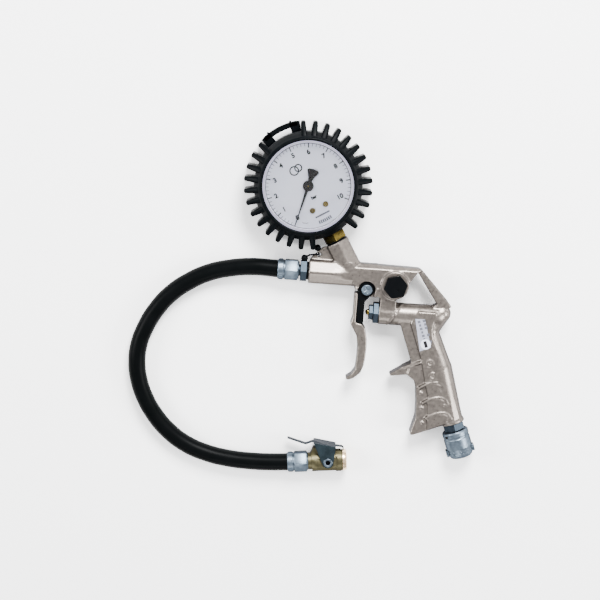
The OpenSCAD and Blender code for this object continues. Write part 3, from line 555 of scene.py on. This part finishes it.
# ---- casting ----
class INFLATOR_OT_casting(bpy.types.Operator):
    """Make the cast body with its fillets, grip ribs and marks"""

    bl_idname = "inflator.casting"
    bl_label = "Casting"

    def execute(self, context):
        bm = copied("gun_body")
        for side in (-1, 1):
            self.grip_ribs(bm, side)
            self.cast_marks(bm, side)
        self.seams(bm)
        skin = settled(bm, context.scene.inflator_sizes.skin, 2)
        self.blend_barrel(skin)
        piece("casting", skin, "gun", cast_aluminium(), ("gun_body",), smooth=70)
        return {"FINISHED"}

    def blend_barrel(self, bm):
        """Runs the barrel's ridge out into the flat plate beside the pivot."""
        for v in bm.verts:
            x, y, z = (v.co - DATUM) / MM
            if -32 < x < 11 and 3 < y < 23.5 and abs(z) > 9:
                t = min(1, (x + 32) / 24)
                fade = t * t * (3 - 2 * t)
                v.co.z = DATUM.z + math.copysign(9 + (abs(z) - 9) * (1 - fade), z) * MM

    def grip_ribs(self, bm, side):
        """Three scalloped ribs on the grip's side panel, each ending in a pip."""
        rib = [(51, -79.4), (55.5, -76.6), (60.5, -74.4), (66, -73.6), (69.8, -75.2), (72.3, -78.6)]
        for row in range(3):
            dx, dy = 3.9 * row, -13.0 * row
            height = side * 9.55
            for (x0, y0), (x1, y1) in zip(rib[:-1], rib[1:]):
                bead(bm, at(x0 + dx, y0 + dy, height), at(x1 + dx, y1 + dy, height), 1.3, 1.3)
            ball(bm, 1.35, at(69.7 + dx, -79.6 + dy, side * 9.7))
            ball(bm, 1.5, at(52.5 + 1.7 * row, -83.5 + dy, side * 7.7))

    def cast_marks(self, bm, side):
        """Two plain rings below the label, and the hook's ridge where it crosses the front band."""
        for x, y, radius in ((58.3, -57.5, 2.4), (61.5, -68.6, 2.6)):
            inner, outer = radius - 0.6, radius + 0.6
            turned(bm, [(inner, -0.8), (outer, -0.8), (outer, 0.75), (inner, 0.75)],
                   Matrix.Translation(at(x, y, side * 10)), steps=24)
        bead(bm, at(36, -63.4, side * 5.8), at(50, -57.4, side * 9.2), 1.2, 1.3)

    def seams(self, bm):
        """The raised diagonal rib round the valve housing, and the arch over the trigger's eye."""
        for side in (-1, 1):
            arch = [at(9.4 * math.cos(a), 1.6 + 9.4 * math.sin(a), side * 8.9)
                    for a in (math.radians(12 * k) for k in range(1, 16))]
            for start, end in zip(arch[:-1], arch[1:]):
                bead(bm, start, end, 1.0, 1.0)
            rib = [(30.5, -9.4, 4.6), (28, -12.7, 8.2), (24.8, -18.3, 10.1),
                   (21.6, -23.9, 8.2), (19, -27.3, 4.6)]
            for (x0, y0, z0), (x1, y1, z1) in zip(rib[:-1], rib[1:]):
                bead(bm, at(x0, y0, side * z0), at(x1, y1, side * z1), 0.8, 0.8)


class INFLATOR_OT_trigger(bpy.types.Operator):
    """Make the cast trigger lever and its black insert"""

    bl_idname = "inflator.trigger"
    bl_label = "Trigger"

    def execute(self, context):
        bm = copied("trigger_lever")
        bmesh.ops.dissolve_limit(bm, angle_limit=math.radians(1), verts=bm.verts, edges=bm.edges)
        skin = settled(bm, 0.5, 3, bevel=1.6)
        piece("trigger_cast", skin, "trigger", cast_aluminium(), ("trigger_lever",), smooth=70)
        softened("trigger_insert", black_nylon(), 0.5)
        return {"FINISHED"}


# ---- gauge ----
class INFLATOR_OT_boot(bpy.types.Operator):
    """Make the finned rubber boot with its hanging loop"""

    bl_idname = "inflator.boot"
    bl_label = "Boot"

    def execute(self, context):
        low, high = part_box("gauge_boot")
        h = (high[2] - low[2]) / MM
        bm = bmesh.new()
        base = Matrix.Translation((GAUGE.x, GAUGE.y, low[2]))
        turned(bm, [
            (31, 0), (43.4, 0), (44.9, 0.5), (45.3, 1.8), (45.3, h - 7.6), (44.9, h - 6.2), (42.4, h - 3.6),
            (41.2, h - 1.4), (40.2, h - 0.2), (39.3, h), (38.3, h - 0.1), (37.95, h - 0.5), (38, h - 1),
            (40.1, h - 1), (40.1, 2.6), (31, 2.6)], base, 128)
        for k in range(2, 15):
            for side in (-1, 1):
                self.fin(bm, base @ Matrix.Rotation(LOOP_ANGLE + side * k * math.radians(11.25), 4, "Z"), h)
        self.loop(bm, base @ Matrix.Rotation(LOOP_ANGLE, 4, "Z") @ Matrix.Translation((0, 0, DATUM.z)))
        piece("boot_finned", bm, "gun", moulded_rubber(), ("gauge_boot",), smooth=45)
        return {"FINISHED"}

    def fin(self, bm, turn, h):
        """One round-edged fin that runs up the boot's side and onto its sloping front."""
        inverse = turn.inverted()
        verts = block(bm, (13, 5.6, h - 2.4), turn @ Matrix.Translation((47.2 * MM, 0, (h - 0.4) / 2 * MM)))
        for v in verts:
            local = inverse @ v.co
            if local.x > 47 * MM:
                local.y *= 0.7
                local.z += (-6.4 if local.z > h / 2 * MM else 1.5) * MM
            v.co = turn @ local
        rounded(bm, verts, 1.35, 3)

    def loop(self, bm, base):
        """The hanging loop across the boot's middle plane, with its slot and two small bumps."""
        def arc(r0, r1, half, a0, a1):
            start = base @ Matrix.Rotation(math.radians(a0), 4, "Z")
            edge = min(0.8, half / 2)
            turned(bm, [
                (r0, edge - half), (r0 + edge, -half), (r1 - edge, -half), (r1, edge - half),
                (r1, half - edge), (r1 - edge, half), (r0 + edge, half), (r0, half - edge)],
                start, 24, math.radians(a1 - a0))
        arc(49.5, 54.3, 2.5, -17, 17)
        arc(44.5, 54.0, 2.5, -19.5, -9.6)
        arc(44.5, 54.0, 2.5, 9.6, 19.5)
        for side in (-1, 1):
            spot = base @ Matrix.Rotation(side * math.radians(11), 4, "Z")
            verts = block(bm, (2.6, 1.9, 4.4), spot @ Matrix.Translation((54.2 * MM, 0, 0)))
            rounded(bm, verts, 0.5, 2)


class INFLATOR_OT_dial(bpy.types.Operator):
    """Print the dial: its scale, numbers and plain marks, and paint a shadow ring at its edge"""

    bl_idname = "inflator.dial"
    bl_label = "Dial"

    def execute(self, context):
        self.face = top_of("gauge_dial")
        self.ticks()
        self.numbers(context)
        self.marks()
        return {"FINISHED"}

    def print_block(self, bm, radius, angle, length, width, turn=0.0):
        """A flat printed bar at a polar place on the dial, lengthwise along the radius."""
        centre = polar(radius, angle, self.face + INK_LIFT)
        matrix = Matrix.Translation(centre) @ Matrix.Rotation(angle + turn, 4, "Z")
        block(bm, (length, width, 0.05), matrix)

    def ticks(self):
        fine, bold = bmesh.new(), bmesh.new()
        for step in range(5 * DIAL_STEPS + 1):
            angle = DIAL_ZERO - DIAL_SWEEP * step / (5 * DIAL_STEPS)
            if step % 5 == 0:
                self.print_block(bold, 33.4, angle, 3.6, 0.9)
            else:
                self.print_block(fine, 34.0, angle, 2.4, 0.5)
        for step in range(15 * DIAL_STEPS):
            angle = DIAL_ZERO - DIAL_SWEEP * (step + 0.5) / (15 * DIAL_STEPS)
            self.print_block(fine, 35.3, angle, 0.35, 1.3)
        piece("dial_ticks_bold", bold, "gun", printing_ink())
        piece("dial_ticks_fine", fine, "gun", grey_ink())

    def lettering(self, context, text, size, matrix, name, material):
        """One printed word, struck four times a little apart so that its strokes are bold."""
        curve = bpy.data.curves.new(name, "FONT")
        curve.body = text
        curve.size = size * MM
        curve.align_x = "CENTER"
        curve.align_y = "CENTER"
        curve.extrude = INK_LIFT
        curve.offset = 0.08 * MM
        raw = bpy.data.objects.new(name, curve)
        context.scene.collection.objects.link(raw)
        context.view_layer.update()
        flat = raw.evaluated_get(context.evaluated_depsgraph_get()).to_mesh()
        bm = bmesh.new()
        for k in range(4):
            turn = math.pi / 4 + k * math.pi / 2
            shift = Vector((math.cos(turn), math.sin(turn), 0)) * 0.24 * MM
            first = len(bm.verts)
            bm.from_mesh(flat)
            bm.verts.ensure_lookup_table()
            bmesh.ops.transform(bm, matrix=matrix @ Matrix.Translation(shift), verts=bm.verts[first:])
        bpy.data.objects.remove(raw)
        piece(name, bm, "gun", material)

    def numbers(self, context):
        upright = Matrix.Rotation(LOOP_ANGLE - math.pi / 2, 4, "Z")
        for value in range(DIAL_STEPS + 1):
            angle = DIAL_ZERO - DIAL_SWEEP * value / DIAL_STEPS
            centre = polar(27.9, angle, self.face + TEXT_LIFT)
            self.lettering(context, str(value), 5.4, Matrix.Translation(centre) @ upright,
                           "dial_number_%d" % value, printing_ink())
        centre = polar(10.5, STEM_ANGLE, self.face + TEXT_LIFT)
        self.lettering(context, "bar", 3.6, Matrix.Translation(centre) @ upright, "dial_unit", printing_ink())

    def marks(self):
        """Plain bars in place of the small print, a plain double ring, and a thin dark ring at the dial's edge
        that is a painted shadow of the spacer ring's step.
        """
        bars, ring = bmesh.new(), bmesh.new()
        self.print_block(bars, 26.4, STEM_ANGLE, 1.3, 13)
        for k in range(-3, 4):
            self.print_block(bars, 31.6, STEM_ANGLE + math.radians(3.1 * k), 2.8, 1.25)
        for k in (-1, 0, 1):
            self.print_block(bars, 31.0, DIAL_ZERO + math.radians(14 + 3 * k), 0.5, 1.8, 0.5 * k)
        for k, radius in enumerate((3.0, 2.3)):
            centre = polar(17, LOOP_ANGLE + math.radians(16 - 14 * k), self.face + INK_LIFT)
            turned(ring, [(radius, 0), (radius + 1.1, 0), (radius + 1.1, 0.05), (radius, 0.05)],
                   Matrix.Translation(centre), 40)
        # painted shadow: a thin black ring where the spacer ring's step throws shade on the dial
        centre = polar(0, 0, self.face + INK_LIFT)
        turned(ring, [(35.3, 0), (35.7, 0), (35.7, 0.05), (35.3, 0.05)], Matrix.Translation(centre), 128)
        piece("dial_bars", bars, "gun", grey_ink())
        piece("dial_rings_and_edge_shadow", ring, "gun", printing_ink())


class INFLATOR_OT_pointer(bpy.types.Operator):
    """Make the lance pointer with its hub and fan-shaped tail"""

    bl_idname = "inflator.pointer"
    bl_label = "Pointer"

    def execute(self, context):
        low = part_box("pointer")[0]
        bm = bmesh.new()
        base = Matrix.Translation((GAUGE.x, GAUGE.y, low[2]))
        turned(bm, [(0.6, 0), (4.5, 0), (4.5, 0.7), (4.0, 1.0), (0.6, 1.0)], base, 48)
        aim = base @ Matrix.Rotation(DIAL_ZERO, 4, "Z")
        blade = [(2, 1.3), (14, 0.85), (24, 0.45), (31, 0.4), (34.8, 0.3)]
        tail = [(2, 1.3), (7, 2.2), (13.0, 5.1), (14.2, 3.9), (14.8, 0.1)]
        self.plate(bm, aim, blade)
        self.plate(bm, aim @ Matrix.Rotation(math.pi, 4, "Z"), tail)
        obj = piece("pointer_lance", bm, "needle", needle_lacquer(), ("pointer",), smooth=30)
        bevelled(obj, 0.12, 2)
        return {"FINISHED"}

    def plate(self, bm, matrix, half):
        """A flat blade from a half outline of (distance, half width) in millimetres."""
        outline = half + [(x, -y) for x, y in reversed(half)]
        verts = [bm.verts.new(matrix @ Vector((x * MM, y * MM, 0.2 * MM))) for x, y in outline]
        face = bm.faces.new(verts)
        lifted = bmesh.ops.extrude_face_region(bm, geom=[face])["geom"]
        up = [v for v in lifted if isinstance(v, bmesh.types.BMVert)]
        bmesh.ops.translate(bm, vec=(0, 0, 0.5 * MM), verts=up)
        bmesh.ops.recalc_face_normals(bm, faces=bm.faces)


class INFLATOR_OT_gauge_metal(bpy.types.Operator):
    """Finish the gauge's bezel, ring, stem and dial screws"""

    bl_idname = "inflator.gauge_metal"
    bl_label = "Gauge metal"

    def execute(self, context):
        softened("gauge_bezel", black_paint(), 0.4)
        # painted glow: the spacer ring's finish emits a little light so that it shows brighter than the dial
        softened("spacer_ring", lilac_acetal(), 0.1)
        softened("gauge_socket", turned_brass(), 0.5)
        softened("dial_screw_1", turned_brass(), 0.25)
        softened("dial_screw_2", turned_brass(), 0.25)
        softened("socket_washer", moulded_rubber(), 0.3)
        bm = copied("retaining_tie")
        ball(bm, 3.1, at(-54.2, 24.3, 2.5))
        ball(bm, 3.0, at(-43.8, 33.4, 0))
        piece("tie_moulded", bm, "gun", moulded_rubber(), ("retaining_tie",),
              smooth=60)
        return {"FINISHED"}


# ---- hardware ----
class INFLATOR_OT_valve(bpy.types.Operator):
    """Finish the pivot screw, valve gland, stem, springs and bleed button"""

    bl_idname = "inflator.valve"
    bl_label = "Valve and button"

    def execute(self, context):
        softened("pivot_screw", satin_zinc(), 0.35)
        softened("pivot_nut", zinc_plate(), 0.4)
        softened("valve_gland_nut", zinc_plate(), 0.6)
        softened("valve_stem", turned_brass(), 0.3)
        softened("bleed_button", black_nylon(), 0.8)
        softened("bleed_gland", zinc_plate(), 0.2)
        low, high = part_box("valve_spring")
        start = Vector((low[0], (low[1] + high[1]) / 2, (low[2] + high[2]) / 2))
        self.coil("valve_coil", "valve_spring", start, (1, 0, 0), (high[0] - low[0]) / MM, 3.7, 0.45, 6)
        low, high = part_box("bleed_spring")
        start = Vector(((low[0] + high[0]) / 2, (low[1] + high[1]) / 2, low[2]))
        self.coil("bleed_coil", "bleed_spring", start, (0, 0, 1), (high[2] - low[2]) / MM, 3.5, 0.4, 4)
        return {"FINISHED"}

    def coil(self, name, node, start, axis, length, radius, wire, turns):
        """A helical spring: a round section spun with a rise."""
        bm = bmesh.new()
        circle = bmesh.ops.create_circle(
            bm, segments=8, radius=wire * MM,
            matrix=Matrix.Translation((radius * MM, 0, wire * MM)) @ Matrix.Rotation(math.pi / 2, 4, "X"))
        edges = list({e for v in circle["verts"] for e in v.link_edges})
        steps = turns * 24
        rise = (length - 2 * wire) * MM / steps
        made = bmesh.ops.spin(
            bm, geom=circle["verts"] + edges, cent=(0, 0, 0), axis=(0, 0, 1), dvec=(0, 0, rise),
            angle=turns * 2 * math.pi, steps=steps)
        bmesh.ops.contextual_create(bm, geom=edges)
        bmesh.ops.contextual_create(bm, geom=only_edges(made["geom_last"]))
        bmesh.ops.transform(bm, matrix=frame_along(start, axis, (0, 1, 0.01)), verts=bm.verts)
        outward(bm)
        piece(name, bm, BODY_OF[node], zinc_plate(), (node,), smooth=60)


class INFLATOR_OT_coupler(bpy.types.Operator):
    """Make the quick coupler with its lugs and knurl, a black block of painted shade for its window, and its
    adapter
    """

    bl_idname = "inflator.coupler"
    bl_label = "Coupler"

    def execute(self, context):
        mount = MOUNTS["air_inlet"]
        axis = Vector(mount["axis"])
        mouth = Vector(mount["pos_m"]) + axis * 7 * MM
        base = frame_along(mouth, axis)
        bm = bmesh.new()
        turned(bm, [
            (8.1, -24), (10.6, -24), (11.35, -23), (11.35, -19.6), (11.0, -19), (11.0, -17.8), (11.35, -17.2),
            (11.35, -8.8), (11.0, -8.2), (10.9, -3.4), (9.6, -0.9), (8.4, 0), (6.6, 0), (6.0, -0.6),
            (6.0, -14), (8.1, -16.5)], base, 72)
        for side in (-1, 1):
            block(bm, (3.4, 7.4, 5.6), base @ Matrix.Translation((side * 10.7 * MM, 0, -5.6 * MM)))
        for row in range(2):
            for k in range(20):
                turn = base @ Matrix.Rotation(2 * math.pi * (k + row / 2) / 20, 4, "Z")
                spot = turn @ Matrix.Translation((10.75 * MM, 0, (-6.2 + 2.2 * row) * MM))
                bmesh.ops.create_cone(
                    bm, cap_ends=True, segments=4, radius1=1.5 * MM, radius2=0.4 * MM, depth=1.3 * MM,
                    matrix=spot @ Matrix.Rotation(math.pi / 2, 4, "Y"))
        outward(bm)
        sleeve = piece(
            "coupler_body", bm, "gun", satin_zinc(), ("coupler_sleeve",), smooth=30)
        bevelled(sleeve, 0.35)
        self.window(base)
        softened("inlet_adapter", zinc_plate(), 0.5)
        return {"FINISHED"}

    def window(self, base):
        """A black block set on the sleeve as painted shade, in place of the slot through which the locking balls
        show.
        """
        bm = bmesh.new()
        turn = base @ Matrix.Rotation(math.radians(140), 4, "Z")
        block(bm, (1.2, 2.6, 2.0), turn @ Matrix.Translation((11.0 * MM, 0, -20.8 * MM)))
        # painted shade: black paint on a block stands in for the shade in the slot
        piece("coupler_slot_shade", bm, "gun", black_paint())


class INFLATOR_OT_fittings(bpy.types.Operator):
    """Finish the hose's nipple, ferrules and seals"""

    bl_idname = "inflator.fittings"
    bl_label = "Hose fittings"

    def execute(self, context):
        softened("hose_nipple", zinc_plate(), 0.6)
        softened("nipple_seal", moulded_rubber(), 0.4)
        self.ferrule("ferrule_gun", at(*HOSE_POINTS[0]), Vector((1, 0, 0)))
        run = RIVET - at(*HOSE_POINTS[-1])
        self.ferrule("ferrule_chuck", at(*HOSE_POINTS[-1]), Vector((run.x, run.y, 0)))
        return {"FINISHED"}

    def ferrule(self, node, start, axis):
        """A crimped collar, then a hexagon with one flat up."""
        base = frame_along(start, axis)
        bm = bmesh.new()
        turned(bm, [
            (5.2, 0), (8.1, 0), (8.5, 0.5), (8.5, 4.6), (7.9, 5.4), (7.9, 17.2), (7.2, 18), (5.2, 18)],
            base, 60)
        for k in range(6):
            turn = base @ Matrix.Rotation(math.radians(60 * k), 4, "Z")
            block(bm, (3.2, 1.5, 3.2), turn @ Matrix.Translation((7.35 * MM, 0, 2.6 * MM)))
        hexagon = bmesh.ops.create_cone(
            bm, cap_ends=True, segments=6, radius1=9.7 * MM, radius2=9.7 * MM, depth=11 * MM,
            matrix=base @ Matrix.Translation((0, 0, 11.4 * MM)))
        rounded(bm, hexagon["verts"], 0.7, 2)
        piece(node + "_crimped", bm, "gun", satin_zinc(), (node,), smooth=30)


class INFLATOR_OT_chuck(bpy.types.Operator):
    """Finish the chuck, its clip and its rivet"""

    bl_idname = "inflator.chuck"
    bl_label = "Chuck"

    def execute(self, context):
        softened("chuck_body", nickel_brass(), 0.5)
        softened("chuck_clip", spring_steel(), 0.2)
        softened("chuck_rivet", satin_zinc(), 0.3)
        run = RIVET - at(*HOSE_POINTS[-1])
        axis = Vector((run.x, run.y, 0)).normalized()
        bm = bmesh.new()
        turned(bm, [
            (4.3, -0.1), (8.3, -0.1), (8.9, -0.6), (9.5, -2.6), (9.5, -3.4), (8.8, -3.9), (4.3, -3.9)],
            frame_along(RIVET + axis * 16.4 * MM, axis), 72)
        piece("chuck_rim", bm, "gun", bright_brass(), smooth=30)
        return {"FINISHED"}


class INFLATOR_OT_labels(bpy.types.Operator):
    """Print plain marks on the foil label and the round sticker"""

    bl_idname = "inflator.labels"
    bl_label = "Labels"

    def execute(self, context):
        face = top_of("label_plate")
        bm = bmesh.new()
        lean = math.radians(-74)
        for row in range(7):
            for column in range(2):
                if (row, column) in ((3, 1), (5, 1)):
                    continue
                centre = at(46.0 + 1.15 * row + 4.1 * column, -22.4 - 2.9 * row + 1.2 * column)
                centre.z = face
                matrix = Matrix.Translation(centre) @ Matrix.Rotation(lean, 4, "Z")
                block(bm, (2.1, 2.3 - 0.6 * (row % 2), 0.06), matrix)
        piece("label_print", bm, "gun", grey_ink())
        bm = bmesh.new()
        spot = middle("round_sticker")
        spot.z = top_of("round_sticker")
        matrix = Matrix.Translation(spot) @ Matrix.Rotation(math.radians(20), 4, "Z")
        block(bm, (2.7, 5.8, 0.06), matrix)
        piece("sticker_print", bm, "gun", printing_ink())
        return {"FINISHED"}


class INFLATOR_OT_finishes(bpy.types.Operator):
    """Give every CAD node that is still shown its finish"""

    bl_idname = "inflator.finishes"
    bl_label = "Finishes"

    def execute(self, context):
        for name, obj in frame["nodes"].items():
            finish = white_vinyl if name == "round_sticker" else NODE_FINISH[SLOT_OF[name]]
            for i in range(len(obj.material_slots)):
                obj.material_slots[i].material = finish()
        return {"FINISHED"}


# ---- panel and registration ----
STEPS = (
    INFLATOR_OT_stage, INFLATOR_OT_hose, INFLATOR_OT_finishes, INFLATOR_OT_casting, INFLATOR_OT_trigger,
    INFLATOR_OT_boot, INFLATOR_OT_dial, INFLATOR_OT_pointer, INFLATOR_OT_gauge_metal, INFLATOR_OT_valve,
    INFLATOR_OT_coupler, INFLATOR_OT_fittings, INFLATOR_OT_chuck, INFLATOR_OT_labels,
)


class INFLATOR_PT_panel(bpy.types.Panel):
    """Lists the inflator's sizes, colours and pieces"""

    bl_idname = "INFLATOR_PT_panel"
    bl_label = "Tyre inflator"
    bl_space_type = "VIEW_3D"
    bl_region_type = "UI"
    bl_category = "Inflator"

    def draw(self, context):
        for group in (context.scene.inflator_sizes, context.scene.inflator_finish):
            for key in group.__annotations__:
                self.layout.prop(group, key)
        for step in STEPS:
            self.layout.operator(step.bl_idname)


CLASSES = (InflatorFinish, InflatorSizes, *STEPS, INFLATOR_PT_panel)


def register():
    for cls in CLASSES:
        bpy.utils.register_class(cls)
    bpy.types.Scene.inflator_sizes = bpy.props.PointerProperty(type=InflatorSizes)
    bpy.types.Scene.inflator_finish = bpy.props.PointerProperty(type=InflatorFinish)


def unregister():
    del bpy.types.Scene.inflator_sizes
    del bpy.types.Scene.inflator_finish
    for cls in reversed(CLASSES):
        bpy.utils.unregister_class(cls)


def main():
    register()
    for step in STEPS:
        family, name = step.bl_idname.split(".")
        getattr(getattr(bpy.ops, family), name)()
    bpy.context.view_layer.update()


if __name__ == "__main__":
    main()
